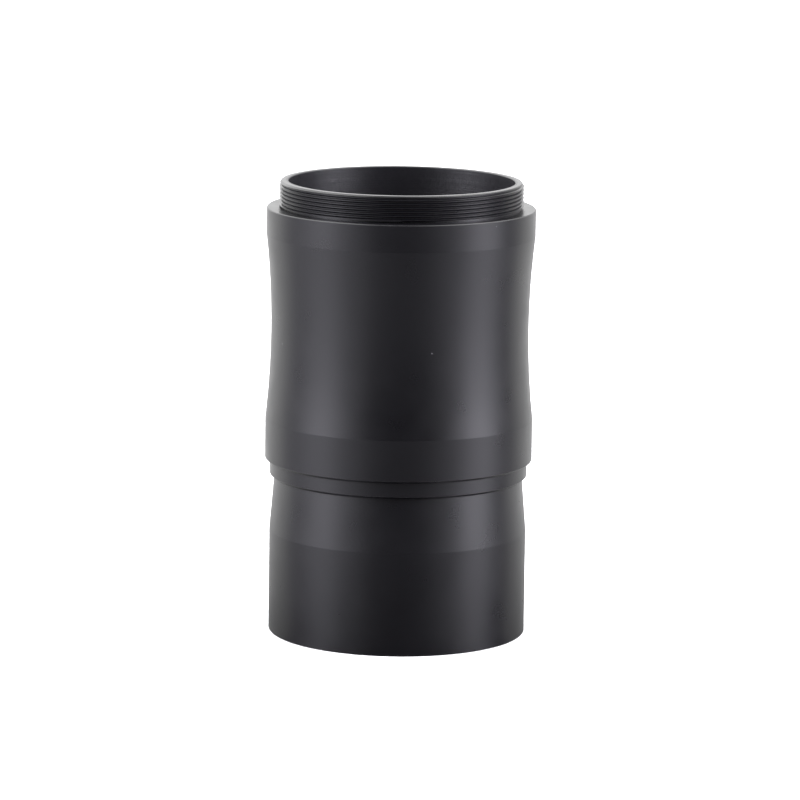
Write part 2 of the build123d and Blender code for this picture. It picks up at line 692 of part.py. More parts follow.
CAP_PLUG_Z = 74.2
COIN_SLOT_L = 18.0
COIN_SLOT_W = 1.8
COIN_SLOT_D = 1.1
with BuildPart() as battery_cap:
    turn(
        [
            (0, CAP_PLUG_Z),
            (CAP_THREAD_R - FIT - 0.4, CAP_PLUG_Z),
            (CAP_THREAD_R - FIT, CAP_PLUG_Z + 0.4),
            (CAP_THREAD_R - FIT, CAP_HEAD_Z),
            (CAP_HEAD_R, CAP_HEAD_Z),
            (CAP_HEAD_R, CAP_TOP_Z - 0.4),
            (CAP_HEAD_R - 0.4, CAP_TOP_Z),
            (0, CAP_TOP_Z),
        ]
    )
    slab(COIN_SLOT_L, COIN_SLOT_W, CAP_TOP_Z - COIN_SLOT_D, CAP_TOP_Z, mode=Mode.SUBTRACT)
    knurl(CAP_HEAD_R + 0.12, 48, 0.4, CAP_HEAD_Z, CAP_TOP_Z)
pieces["battery_cap"] = battery_cap

# Dished washer between the cap and the cell.
WASHER_T = 0.25
WASHER_INNER_R = 5.0
WASHER_OUTER_R = 9.5
WASHER_LOW_Z = CELL_LOW_Z + CELL_T + FIT
with BuildPart() as cap_contact_washer:
    turn(
        [
            (WASHER_INNER_R, CAP_PLUG_Z),
            (WASHER_INNER_R, CAP_PLUG_Z - WASHER_T),
            (WASHER_OUTER_R, WASHER_LOW_Z),
            (WASHER_OUTER_R, WASHER_LOW_Z + WASHER_T),
            (WASHER_INNER_R + 0.6, CAP_PLUG_Z),
        ]
    )
pieces["cap_contact_washer"] = cap_contact_washer

SEAL_MEAN_R = 12.95
with BuildPart() as battery_cap_o_ring:
    with BuildSketch(Plane.XZ):
        with Locations((SEAL_MEAN_R, (COLLAR_TOP_Z + CAP_HEAD_Z) / 2)):
            Circle(SEAL_R)
    revolve(axis=Axis.Z)
pieces["battery_cap_o_ring"] = battery_cap_o_ring

# ---------------------------------------------------------------- push switch
CAVITY_LOW_Z = 67.6
CAVITY_HIGH_Z = 70.6
STEM_R = 1.25
STEM_FLANGE_R = 1.8
STEM_LOW_Z = 69.4
STEM_TOP_Z = 73.0
TERMINAL_LOW_Z = 62.2
switch_spot = ((0, SWITCH_Y),)
terminal_spots = ((-TERMINAL_X, SWITCH_Y), (TERMINAL_X, SWITCH_Y))
with BuildPart() as switch_body:
    slab(SWITCH_SIDE, SWITCH_SIDE, TILT_HIGH_Z, SWITCH_TOP_Z, spots=switch_spot)
    fillet(switch_body.edges().filter_by(Axis.Z), 0.4)
    post(2.0, CAVITY_LOW_Z, CAVITY_HIGH_Z, switch_spot, mode=Mode.SUBTRACT)
    post(STEM_R + 0.1, CAVITY_HIGH_Z, SWITCH_TOP_Z, switch_spot, mode=Mode.SUBTRACT)
pieces["switch_body"] = switch_body

with BuildPart() as switch_terminals:
    slab(0.8, 0.4, TERMINAL_LOW_Z, TILT_HIGH_Z, spots=terminal_spots)
pieces["switch_terminals"] = switch_terminals

with BuildPart() as push_button:
    post(STEM_FLANGE_R, STEM_LOW_Z, CAVITY_HIGH_Z - FIT, switch_spot)
    post(STEM_R, CAVITY_HIGH_Z - FIT, STEM_TOP_Z, switch_spot)
    post(BUTTON_R, STEM_TOP_Z, BUTTON_TOP_Z, switch_spot)
    fillet(push_button.edges().filter_by(GeomType.CIRCLE).group_by(Axis.Z)[-1], 0.5)
pieces["push_button"] = push_button

button_coil = coil(1.2, 0.15, CAVITY_LOW_Z, STEM_LOW_Z, 4)
with BuildPart() as switch_spring:
    with Locations(*switch_spot):
        add(button_coil)
pieces["switch_spring"] = switch_spring

# ---------------------------------------------------------------- leads
LEAD_LEVEL_Z = 58.0
PAD_Y = -5.0
with BuildPart() as switch_lead_red:
    lead(
        [
            (TERMINAL_X, SWITCH_Y, TERMINAL_LOW_Z),
            (TERMINAL_X, SWITCH_Y, LEAD_LEVEL_Z),
            (TERMINAL_X, PAD_Y, LEAD_LEVEL_Z),
            (TERMINAL_X, PAD_Y, BOARD_TOP_Z),
        ]
    )
pieces["switch_lead_red"] = switch_lead_red

with BuildPart() as switch_lead_black:
    lead(
        [
            (-TERMINAL_X, SWITCH_Y, TERMINAL_LOW_Z),
            (-TERMINAL_X, SWITCH_Y, LEAD_LEVEL_Z),
            (-TERMINAL_X, PAD_Y, LEAD_LEVEL_Z),
            (-TERMINAL_X, PAD_Y, BOARD_TOP_Z),
        ]
    )
pieces["switch_lead_black"] = switch_lead_black

with BuildPart() as battery_lead:
    lead(
        [
            (0, 0, CONTACT_TAB_Z),
            (0, 0, 62.0),
            (2.6, 2.0, 58.0),
            (2.6, 2.0, BOARD_TOP_Z),
        ]
    )
pieces["battery_lead"] = battery_lead

# ---------------------------------------------------------------- files
os.makedirs("parts", exist_ok=True)
for name, piece in pieces.items():
    piece.part.label = name
    export_step(piece.part, f"parts/{name}.step")
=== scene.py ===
import json
import math

import bpy
from mathutils import Matrix, Vector


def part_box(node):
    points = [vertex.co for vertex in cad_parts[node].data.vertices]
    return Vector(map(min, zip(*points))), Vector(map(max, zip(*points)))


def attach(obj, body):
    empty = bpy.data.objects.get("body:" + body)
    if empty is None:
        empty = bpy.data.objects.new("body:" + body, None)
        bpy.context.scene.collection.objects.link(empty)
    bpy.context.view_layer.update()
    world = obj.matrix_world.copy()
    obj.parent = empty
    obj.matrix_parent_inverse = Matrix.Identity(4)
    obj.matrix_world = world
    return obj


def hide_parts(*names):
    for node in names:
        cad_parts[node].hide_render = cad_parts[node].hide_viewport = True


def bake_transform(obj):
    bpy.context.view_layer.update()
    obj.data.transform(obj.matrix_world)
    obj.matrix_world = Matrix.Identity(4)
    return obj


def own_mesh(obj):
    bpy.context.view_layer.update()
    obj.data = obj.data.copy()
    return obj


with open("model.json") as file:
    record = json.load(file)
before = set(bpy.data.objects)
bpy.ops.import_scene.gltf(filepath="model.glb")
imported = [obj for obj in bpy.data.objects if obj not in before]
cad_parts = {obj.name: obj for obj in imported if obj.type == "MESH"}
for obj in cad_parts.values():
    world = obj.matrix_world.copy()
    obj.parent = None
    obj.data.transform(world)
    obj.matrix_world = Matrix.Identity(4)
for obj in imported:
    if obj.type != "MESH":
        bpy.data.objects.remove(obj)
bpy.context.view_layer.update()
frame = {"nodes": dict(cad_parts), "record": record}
nodes = frame["nodes"]

MM = 0.001

# ---------------------------------------------------------------- camera
# A long lens from about 0.9 m, aimed 10 degrees down. The object leans a little in the picture.
CAMERA_DISTANCE = 0.880
CAMERA_HEIGHT = 0.2025
CAMERA_PITCH = math.radians(10.086)
CAMERA_ROLL = math.radians(0.76)
CAMERA_SIDE = 0.19 * MM
LENS = 203.9
SENSOR_WIDTH = 36
NEAREST = 0.01
FURTHEST = 50


def make_camera():
    data = bpy.data.cameras.new("camera")
    data.lens = LENS
    data.sensor_width = SENSOR_WIDTH
    data.clip_start = NEAREST
    data.clip_end = FURTHEST
    camera = bpy.data.objects.new("camera", data)
    bpy.context.collection.objects.link(camera)
    place = Matrix.Translation((CAMERA_SIDE, -CAMERA_DISTANCE, CAMERA_HEIGHT))
    looking = Matrix.Rotation(math.pi / 2 - CAMERA_PITCH, 4, "X")
    rolled = Matrix.Rotation(CAMERA_ROLL, 4, "Z")
    camera.matrix_world = place @ looking @ rolled
    bpy.context.scene.camera = camera


# ---------------------------------------------------------------- node helpers
class Web:
    """A node tree with short calls for the few node types that the materials use."""

    def __init__(self, tree):
        self.tree = tree

    def node(self, kind, **settings):
        node = self.tree.nodes.new("ShaderNode" + kind)
        for name, value in settings.items():
            setattr(node, name, value)
        return node

    def feed(self, socket, value):
        if isinstance(value, bpy.types.NodeSocket):
            self.tree.links.new(value, socket)
        else:
            socket.default_value = value

    def math(self, operation, first, second=0.0):
        node = self.node("Math", operation=operation)
        self.feed(node.inputs[0], first)
        self.feed(node.inputs[1], second)
        return node.outputs[0]

    def vector(self, operation, first, second=(0, 0, 0)):
        node = self.node("VectorMath", operation=operation)
        self.feed(node.inputs[0], first)
        self.feed(node.inputs[1], second)
        return node

    def scaled(self, vector, factor):
        node = self.vector("SCALE", vector)
        self.feed(node.inputs["Scale"], factor)
        return node.outputs["Vector"]

    def spread(self, value, low, high, to_low=0.0, to_high=1.0, smooth=False):
        """Map a value from one range to another, held at both ends."""
        node = self.node("MapRange", interpolation_type="SMOOTHSTEP" if smooth else "LINEAR")
        names = ("Value", "From Min", "From Max", "To Min", "To Max")
        for name, item in zip(names, (value, low, high, to_low, to_high)):
            self.feed(node.inputs[name], item)
        return node.outputs[0]

    def blend(self, share, first, second):
        node = self.node("Mix", data_type="RGBA")
        self.feed(node.inputs["Factor"], share)
        self.feed(node.inputs["A"], first)
        self.feed(node.inputs["B"], second)
        return node.outputs["Result"]

    def mix_shaders(self, share, first, second):
        node = self.node("MixShader")
        for socket, value in zip(node.inputs, (share, first, second)):
            self.feed(socket, value)
        return node.outputs[0]

    def noise(self, place, scale, detail=2.0, rough=0.5):
        node = self.node("TexNoise")
        self.feed(node.inputs["Vector"], place)
        self.feed(node.inputs["Scale"], scale)
        self.feed(node.inputs["Detail"], detail)
        self.feed(node.inputs["Roughness"], rough)
        return node.outputs["Fac"]

    def ramp(self, value, stops, interpolation="LINEAR"):
        """A grey ramp through (place, level, tinted) stops."""
        node = self.node("ValToRGB")
        node.color_ramp.interpolation = interpolation
        elements = node.color_ramp.elements
        while len(elements) > 1:
            elements.remove(elements[-1])
        for number, (place, level, tinted) in enumerate(stops):
            element = elements[0] if number == 0 else elements.new(place)
            element.position = place
            element.color = [level * share for share in (TINT if tinted else (1, 1, 1))] + [1]
        self.feed(node.inputs[0], value)
        return node.outputs["Color"]

    def bump(self, height, strength, distance, normal=None):
        node = self.node("Bump")
        self.feed(node.inputs["Strength"], strength)
        node.inputs["Distance"].default_value = distance
        self.feed(node.inputs["Height"], height)
        if normal is not None:
            self.feed(node.inputs["Normal"], normal)
        return node.outputs["Normal"]


def colour(red, green, blue):
    return (red, green, blue, 1)


def grey(level):
    return colour(level, level, level)


# ---------------------------------------------------------------- studio
FLOOR_RADIUS = 6.0
FLOOR_SIDES = 96
FLOOR_TONE = 0.9
SKY_SEEN = 1.2
# Overhead the sky is dim in the middle and bright to the left and right. It takes over between two
# heights, and gets bright between two distances from the middle, all in a direction of length 1.
SKY_TOP = 0.35
SKY_SIDES = 3.5
SKY_TOP_FROM, SKY_TOP_TO = 0.5, 0.8
SKY_SIDES_FROM, SKY_SIDES_TO = 0.12, 0.5
# Above the horizon the sky gets brighter, and its pattern stronger, between these two heights.
SKY_LIFT = 1.5
SKY_CONTRAST = 1.8
SKY_LIFT_FROM, SKY_LIFT_TO = 0.08, 0.3
# The soft lights beside the camera are a little violet; the white sweep behind isn't.
TINT = (1.0, 0.985, 1.085)
TINT_REACH = 110
# Brightness of the surroundings by direction round the object, in degrees from the camera's side:
# dark in front, where the room isn't lit, a tall soft light on each side, and a white sweep behind.
SKY_STOPS = (
    (-180, 1.28),
    (-150, 1.38),
    (-125, 1.15),
    (-104, 0.7),
    (-70, 3.0),
    (-44, 0.95),
    (-30, 0.12),
    (-16, 0.02),
    (0, 0.01),
    (16, 0.02),
    (30, 0.07),
    (44, 0.42),
    (74, 4.0),
    (104, 0.5),
    (128, 0.93),
    (150, 0.95),
    (180, 1.28),
)
# The same for the floor as it's mirrored in the object, a painted glow: softer, and painted
# brighter in front.
FLOOR_STOPS = (
    (-180, 1.15),
    (-125, 1.15),
    (-104, 0.72),
    (-68, 1.45),
    (-40, 0.72),
    (-18, 0.32),
    (0, 0.23),
    (18, 0.26),
    (42, 0.56),
    (76, 1.75),
    (106, 0.46),
    (128, 1.0),
    (180, 1.15),
)
# Near the object the floor's pattern closes in on the camera's side: a bearing counts for
# 1 + twist / distance^fall times as much, so that the object's foot mirrors what its top does.
FLOOR_TWIST = 0.0037
FLOOR_TWIST_FALL = 1.5
# How strongly that pattern shows, as a power, by the distance from the object's axis in metres.
FLOOR_CONTRAST = ((0.0, 1.1), (0.18, 1.15), (0.245, 0.68), (0.33, 0.95), (0.8, 1.45))
# Near the object the floor's glow is darkened as a painted shadow, which fades between two
# distances from it.
PAINTED_SHADE_NEAR = 0.028
PAINTED_SHADE_FAR = 0.20
PAINTED_SHADE_SHARE = 0.35
TOP_LIGHT_HEIGHT = 1.5
TOP_LIGHT_SIDE = 3
TOP_LIGHT_POWER = 45


def bearing_tone(web, split, stops, twist=1.0):
    """A grey level by direction round Z, from the camera's side."""
    back = web.math("MULTIPLY", split.outputs["Y"], -1)
    bearing = web.math("MULTIPLY", web.math("ARCTAN2", split.outputs["X"], back), twist)
    share = web.spread(bearing, -math.pi, math.pi)
    places = [((angle + 180) / 360, level, abs(angle) < TINT_REACH) for angle, level in stops]
    return web.ramp(share, places, "EASE")


def raised(web, tone, contrast):
    """What a tone is multiplied by to raise it to a power."""
    return web.math("POWER", tone, web.math("SUBTRACT", contrast, 1.0))


def mirrored_floor(web):
    """The floor as the object mirrors it: a painted glow, with the bright pattern, contrast and
    painted shadow set above.
    """
    place = web.node("TexCoord").outputs["Object"]
    split = web.node("SeparateXYZ")
    web.feed(split.inputs[0], place)
    reach = web.vector("LENGTH", place).outputs["Value"]
    closing = web.math("DIVIDE", FLOOR_TWIST, web.math("POWER", reach, FLOOR_TWIST_FALL))
    tone = bearing_tone(web, split, FLOOR_STOPS, web.math("ADD", closing, 1.0))
    near, far = math.sqrt(PAINTED_SHADE_NEAR), math.sqrt(PAINTED_SHADE_FAR)
    # Painted shadow: the glow is darkened close to the object.
    shade = web.spread(web.math("SQRT", reach), near, far, PAINTED_SHADE_SHARE, 1.0)
    contrast = web.ramp(reach, [(distance, power, False) for distance, power in FLOOR_CONTRAST])
    glow = web.node("Emission")
    web.feed(glow.inputs["Color"], tone)
    web.feed(glow.inputs["Strength"], web.math("MULTIPLY", raised(web, tone, contrast), shade))
    return glow.outputs[0]


def make_floor():
    """A plain pale floor, clear from below, so that the underside of the object can be seen; in the
    object's reflections it is a painted glow.
    """
    bpy.ops.mesh.primitive_circle_add(
        vertices=FLOOR_SIDES, radius=FLOOR_RADIUS, fill_type="NGON"
    )
    floor = bpy.context.object
    floor.name = "floor"
    material = bpy.data.materials.new("floor")
    material.use_nodes = True
    web = Web(material.node_tree)
    plain = material.node_tree.nodes["Principled BSDF"]
    plain.inputs["Base Color"].default_value = grey(FLOOR_TONE)
    plain.inputs["Roughness"].default_value = 1.0
    plain.inputs["Specular IOR Level"].default_value = 0.0
    # Rays mirrored off the object see the painted glow with its painted shadow instead of the lit
    # floor.
    mirrored = web.node("LightPath").outputs["Is Glossy Ray"]
    surface = web.mix_shaders(mirrored, plain.outputs[0], mirrored_floor(web))
    below = web.node("NewGeometry").outputs["Backfacing"]
    clear = web.node("BsdfTransparent").outputs[0]
    output = material.node_tree.nodes["Material Output"]
    web.feed(output.inputs["Surface"], web.mix_shaders(below, surface, clear))
    floor.data.materials.append(material)
    floor.visible_diffuse = False


def make_world():
    world = bpy.data.worlds.new("studio")
    bpy.context.scene.world = world
    world.use_nodes = True
    web = Web(world.node_tree)
    split = web.node("SeparateXYZ")
    web.feed(split.inputs[0], web.node("TexCoord").outputs["Generated"])
    height = split.outputs["Z"]
    tone = bearing_tone(web, split, SKY_STOPS)
    lift = web.spread(height, SKY_LIFT_FROM, SKY_LIFT_TO, 1.0, SKY_LIFT, smooth=True)
    contrast = web.spread(height, SKY_LIFT_FROM, SKY_LIFT_TO, 1.0, SKY_CONTRAST, smooth=True)
    around = web.scaled(tone, web.math("MULTIPLY", raised(web, tone, contrast), lift))
    aside = web.math("ABSOLUTE", split.outputs["X"])
    top = web.spread(aside, SKY_SIDES_FROM, SKY_SIDES_TO, SKY_TOP, SKY_SIDES, smooth=True)
    overhead = web.spread(height, SKY_TOP_FROM, SKY_TOP_TO, smooth=True)
    sky = web.blend(overhead, around, top)
    seen = web.blend(web.node("LightPath").outputs["Is Camera Ray"], sky, grey(SKY_SEEN))
    background = world.node_tree.nodes["Background"]
    web.feed(background.inputs["Color"], seen)
    background.inputs["Strength"].default_value = 1.0


def make_top_light():
    """A large soft light straight above, which the object doesn't mirror."""
    data = bpy.data.lights.new("top", "AREA")
    data.shape = "SQUARE"
    data.size = TOP_LIGHT_SIDE
    data.energy = TOP_LIGHT_POWER
    light = bpy.data.objects.new("top", data)
    bpy.context.collection.objects.link(light)
    light.location = (0, 0, TOP_LIGHT_HEIGHT)
    light.visible_camera = False
    light.visible_glossy = False


# ---------------------------------------------------------------- springs
SPRING_TURNS = 4
SPRING_GAP = 0.02 * MM
ADJUSTER_WIRE_R = 0.32 * MM
BUTTON_WIRE_R = 0.15 * MM
WIRE_SIDES = 14
STEPS_PER_TURN = 40


def make_coil(name, centres, mean_radius, wire_radius, low, high, part=(0.0, 1.0)):
    """Round wire wound about an upright axis through each centre, over a part of its length."""
    foot = low + wire_radius + SPRING_GAP
    rise = high - low - 2 * (wire_radius + SPRING_GAP)
    slope = rise / (2 * math.pi * SPRING_TURNS * mean_radius)
    steps = round(STEPS_PER_TURN * SPRING_TURNS * (part[1] - part[0]))
    points, faces = [], []
    for centre in centres:
        first = len(points)
        for step in range(steps + 1):
            share = part[0] + (part[1] - part[0]) * step / steps
            angle = 2 * math.pi * SPRING_TURNS * share
            outward = Vector((math.cos(angle), math.sin(angle), 0))
            along = Vector((-outward.y, outward.x, slope)).normalized()
            upward = outward.cross(along)
            middle = Vector((*centre, foot + rise * share)) + outward * mean_radius
            for side in range(WIRE_SIDES):
                turn = 2 * math.pi * side / WIRE_SIDES
                spoke = outward * math.cos(turn) + upward * math.sin(turn)
                points.append(middle + spoke * wire_radius)
        for here in range(first, first + steps * WIRE_SIDES, WIRE_SIDES):
            there = here + WIRE_SIDES
            for side in range(WIRE_SIDES):
                after = (side + 1) % WIRE_SIDES
                faces.append((here + side, here + after, there + after, there + side))
        last = first + steps * WIRE_SIDES
        faces.append([first + side for side in reversed(range(WIRE_SIDES))])
        faces.append([last + side for side in range(WIRE_SIDES)])
    mesh = bpy.data.meshes.new(name)
    mesh.from_pydata(points, [], faces)
    for face in mesh.polygons:
        face.use_smooth = len(face.vertices) == 4
    piece = bpy.data.objects.new(name, mesh)
    bpy.context.collection.objects.link(piece)
    mesh.materials.append(nodes["adjuster_springs"].material_slots[0].material)
    return piece


def make_adjuster_springs():
    """The adjusters' coils, each cut in two halfway into a front half and a rear half, built in
    place where the CAD springs stood, which are hidden.
    """
    low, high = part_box("adjuster_springs")
    screws = [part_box(f"adjusting_screw_{number}") for number in (1, 2, 3)]
    centres = [((near.x + far.x) / 2, (near.y + far.y) / 2) for near, far in screws]
    mean_radius = high.y - centres[0][1] - ADJUSTER_WIRE_R
    middle = (low.z + high.z) / 2
    seats = (low.z - SPRING_GAP, high.z + SPRING_GAP)
    halves = (
        ("adjuster_springs_front", (0.0, 0.5), "laser_unit", low.z, middle - ADJUSTER_WIRE_R),
        ("adjuster_springs_rear", (0.5, 1.0), "housing", high.z, middle + ADJUSTER_WIRE_R),
    )
    for name, part, body, seat, cut in halves:
        piece = make_coil(name, centres, mean_radius, ADJUSTER_WIRE_R, *seats, part)
        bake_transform(piece)
        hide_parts("adjuster_springs")


def make_switch_spring():
    """The switch's return spring, wound between its seats and attached to the laser unit's body."""
    low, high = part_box("switch_spring")
    centre = ((low.x + high.x) / 2, (low.y + high.y) / 2)
    seats = (low.z - SPRING_GAP, high.z + SPRING_GAP)
    mean_radius = (high.y - low.y) / 2 - BUTTON_WIRE_R
    piece = make_coil("switch_coil", [centre], mean_radius, BUTTON_WIRE_R, *seats)
    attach(piece, "laser_unit")
    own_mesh(piece)
    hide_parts("switch_spring")


# ---------------------------------------------------------------- materials
# Every material works in the object's own space, in metres. A noise scale is cells per metre.
FINE = 0.02 * MM
GRAIN = 3600
GRAIN_STRENGTH = 0.3
TURNING = 4200
METAL_TURNING = 7000
METAL_SCRATCHES = 3000
BORING = 11000
BORING_STRENGTH = 0.75
BORED_ROUGHNESS = 0.08
BLOTCHES = 70
METAL_STAINS = 260
PLASTIC_DRIFT = 180
SHINE_DRIFT = 160
METAL_SHINE_DRIFT = 500
PLASTIC_SHINE_DRIFT = 420
WEAR_PATCHES = 420
# How far the eased normal leans from the sharp one where wear starts, and where it's full.
WEAR_FROM, WEAR_FULL = 0.03, 0.35
DUST_CELLS = 170
DUST_SIZE = 0.17 * MM
DUST_CORE = 0.4
DUST = colour(0.2, 0.2, 0.21)
DUST_ROUGHNESS = 0.3
ANODISED_IOR = 1.6
# Anodising is this much lighter in its pale blotches; plastic is this much darker in its dark ones.
ANODISED_DRIFT = 1.35
PLASTIC_DARKENING = 0.78
EDGE_RADIUS = 0.22 * MM
METAL_EDGE_RADIUS = 0.12 * MM
PLASTIC_EDGE_RADIUS = 0.2 * MM
# Inside this radius the shell is the rear mouth's bore. Its male thread ends at the larger one, and
# wears less than the outside does.
BORE_R = 22.6 * MM
THREADS_R = 24.3 * MM
THREAD_WEAR = 0.12
FACET_ERROR = 0.07


class Finish:
    """One material's shader, its place coordinates and the patterns that materials share."""

    def __init__(self, material):
        self.web = Web(material.node_tree)
        self.shader = material.node_tree.nodes["Principled BSDF"]
        self.place = self.web.node("TexCoord").outputs["Object"]
        split = self.web.node("SeparateXYZ")
        self.web.feed(split.inputs[0], self.place)
        self.x, self.y, self.z = split.outputs
        flat = self.web.vector("MULTIPLY", self.place, (1, 1, 0)).outputs["Vector"]
        self.radius = self.web.vector("LENGTH", flat).outputs["Value"]

    def set(self, **values):
        for name, value in values.items():
            self.web.feed(self.shader.inputs[name.replace("_", " ")], value)

    def lines(self, scale):
        """Turning marks: fine rings round Z, on faces and on cylinders alike."""
        join = self.web.node("CombineXYZ")
        self.web.feed(join.inputs[0], self.radius)
        self.web.feed(join.inputs[2], self.z)
        return self.web.noise(join.outputs[0], scale, 1.0)

    def edges(self, radius=EDGE_RADIUS):
        """How close a point is to an outer edge, broken up so that wear comes in patches."""
        bevel = self.web.node("Bevel", samples=5)
        bevel.inputs["Radius"].default_value = radius
        sharp = self.web.node("NewGeometry").outputs["Normal"]
        same = self.web.vector("DOT_PRODUCT", bevel.outputs["Normal"], sharp).outputs["Value"]
        bent = self.web.math("SUBTRACT", 1.0, same)
        noise = self.web.noise(self.place, WEAR_PATCHES, 3.0)
        patches = self.web.spread(noise, 0.35, 0.65, 0.3, 1.0)
        return self.web.math("MULTIPLY", self.web.spread(bent, WEAR_FROM, WEAR_FULL), patches)

    def specks(self, scale, size, share):
        """Sparse round specks: the chosen share of the cells holds one each."""
        cells = self.web.node("TexVoronoi")
        self.web.feed(cells.inputs["Vector"], self.place)
        self.web.feed(cells.inputs["Scale"], scale)
        chance = self.web.node("SeparateColor")
        self.web.feed(chance.inputs[0], cells.outputs["Color"])
        chosen = self.web.math("LESS_THAN", chance.outputs[0], share)
        rim = size * scale
        near = self.web.spread(cells.outputs["Distance"], rim, rim * DUST_CORE)
        return self.web.math("MULTIPLY", near, chosen)

    def trued(self):
        """The normal without the small sideways error that facets leave on a turned part."""
        normal = self.web.node("NewGeometry").outputs["Normal"]
        sideways = self.web.vector("CROSS_PRODUCT", (0, 0, 1), self.place).outputs["Vector"]
        sideways = self.web.vector("NORMALIZE", sideways).outputs["Vector"]
        error = self.web.vector("DOT_PRODUCT", normal, sideways).outputs["Value"]
        small = self.web.math("LESS_THAN", self.web.math("ABSOLUTE", error), FACET_ERROR)
        wrong = self.web.scaled(sideways, self.web.math("MULTIPLY", error, small))
        right = self.web.vector("SUBTRACT", normal, wrong).outputs["Vector"]
        return self.web.vector("NORMALIZE", right).outputs["Vector"]

    def blotches(self, low, high, scale=BLOTCHES):
        noise = self.web.noise(self.place, scale, 4.0)
        return self.web.spread(noise, 0.3, 0.7, low, high)


def anodised(material, base, worn, rough, lines, dust=0.0, wear_from=0.0, turned=False):
    """Black anodising on aluminium: faint blotches, a blasted or turned surface, worn edges."""
    finish = Finish(material)
    web = finish.web
    wear = finish.edges()
    if wear_from:
        outer = web.spread(finish.radius, wear_from - 0.2 * MM, wear_from, THREAD_WEAR, 1.0)
        wear = web.math("MULTIPLY", wear, outer)
    lighter = colour(*(ANODISED_DRIFT * level for level in base[:3]))
    # Worn edges are lighter; on the shell this is partly real edge wear and partly a painted
    # highlight on the edges.
    tone = web.blend(wear, web.blend(finish.blotches(0.0, 1.0), base, lighter), worn)
    shine = finish.blotches(rough - 0.03, rough + 0.03, SHINE_DRIFT)
    if dust:
        specks = finish.specks(DUST_CELLS, DUST_SIZE, dust)
        tone = web.blend(specks, tone, DUST)
        shine = web.math("ADD", shine, web.math("MULTIPLY", specks, DUST_ROUGHNESS))
    true = finish.trued() if turned else None
    grain = web.bump(web.noise(finish.place, GRAIN, 2.0), GRAIN_STRENGTH, FINE, true)
    normal = web.bump(finish.lines(TURNING), lines, FINE, grain)
    finish.set(Base_Color=tone, Roughness=shine, Normal=normal, IOR=ANODISED_IOR, Metallic=0.0)
    return finish, tone, shine, normal


def shell_material(material):
    """Blasted satin outside; inside the rear mouth it's a duller, finely bored surface, painted
    lighter as painted light on the bore wall.
    """
    finish, tone, shine, normal = anodised(
        material,
        base=colour(0.0026, 0.0025, 0.0034),
        # Light edge colour: partly edge wear, partly a painted highlight standing in for the light
        # that the small chamfers catch.
        worn=colour(0.11, 0.11, 0.115),
        rough=0.30,
        lines=0.05,
        dust=0.9,
        wear_from=THREADS_R,
        turned=True,
    )
    web = finish.web
    inside = web.spread(finish.radius, BORE_R + 0.1 * MM, BORE_R)
    bored = web.math("MULTIPLY", inside, BORING_STRENGTH)
    finish.set(
        # Inside the bore the colour is lighter: painted light standing in for the light that
        # reaches the bore wall.
        Base_Color=web.blend(inside, tone, colour(0.0065, 0.0062, 0.0082)),
        Roughness=web.math("ADD", shine, web.math("MULTIPLY", inside, BORED_ROUGHNESS)),
        Normal=web.bump(finish.lines(BORING), bored, 2 * FINE, normal),
    )


def bare_metal(material, base, stain, rough, lines, worn=None):
    """Turned or drawn metal with fine marks, faint stains and polished edges."""
    finish = Finish(material)
    web = finish.web
    tone = web.blend(finish.blotches(0.0, 1.0, METAL_STAINS), base, stain)
    marks = finish.lines(METAL_TURNING)
    tone = web.blend(web.spread(marks, 0.3, 0.7, 0.0, 0.35), tone, stain)
    shine = finish.blotches(rough - 0.05, rough + 0.07, METAL_SHINE_DRIFT)
    if worn:
        wear = finish.edges(METAL_EDGE_RADIUS)
        tone = web.blend(wear, tone, worn)
        shine = web.math("SUBTRACT", shine, web.math("MULTIPLY", wear, 0.08))
    scratch = web.bump(web.noise(finish.place, METAL_SCRATCHES, 3.0), 0.06, FINE)
    normal = web.bump(marks, lines, FINE, scratch)
    finish.set(Base_Color=tone, Roughness=shine, Normal=normal, Metallic=1.0)


def moulded(material, base, rough, grain, depth, edge=None):
    """Moulded plastic, rubber or epoxy: slight drift, a fine mould texture, rubbed edges."""
    finish = Finish(material)
    web = finish.web
    darker = colour(*(PLASTIC_DARKENING * level for level in base[:3]))
    tone = web.blend(finish.blotches(0.0, 1.0, PLASTIC_DRIFT), base, darker)
    if edge:
        tone = web.blend(finish.edges(PLASTIC_EDGE_RADIUS), tone, edge)
    shine = finish.blotches(rough - 0.06, rough + 0.06, PLASTIC_SHINE_DRIFT)
    normal = web.bump(web.noise(finish.place, grain, 3.0), depth, 1.5 * FINE)
    finish.set(Base_Color=tone, Roughness=shine, Normal=normal, Metallic=0.0)
    return finish, tone


def inner_anodised(material):
    anodised(material, colour(0.008, 0.008, 0.009), colour(0.07, 0.07, 0.075), 0.42, 0.35)


def cap_anodised(material):
    """The battery cap: stronger facing marks, a little dust."""
    anodised(
        material,
        base=colour(0.009, 0.009, 0.010),
        worn=colour(0.12, 0.12, 0.125),
        rough=0.34,
        lines=0.55,
        dust=0.3,
    )


def target_white(material):
    """White target: its engraved rings are filled with dark paint."""
    step = 4 * MM
    first = 6 * MM
    hole = 5 * MM
    rim = 19 * MM
    finish, tone = moulded(material, colour(0.80, 0.80, 0.77), 0.5, 1800, 0.08)
    web = finish.web
    along = web.math("DIVIDE", web.math("SUBTRACT", finish.radius, first), step)
    off_ring = web.math("ABSOLUTE", web.math("SUBTRACT", along, web.math("ROUND", along)))
    near_ring = web.spread(off_ring, 0.075, 0.055)
    within_rim = web.math("LESS_THAN", finish.radius, rim)
    past_hole = web.math("GREATER_THAN", finish.radius, hole)
    painted = web.math("MULTIPLY", near_ring, web.math("MULTIPLY", within_rim, past_hole))
    finish.set(Base_Color=web.blend(painted, tone, colour(0.03, 0.03, 0.035)))


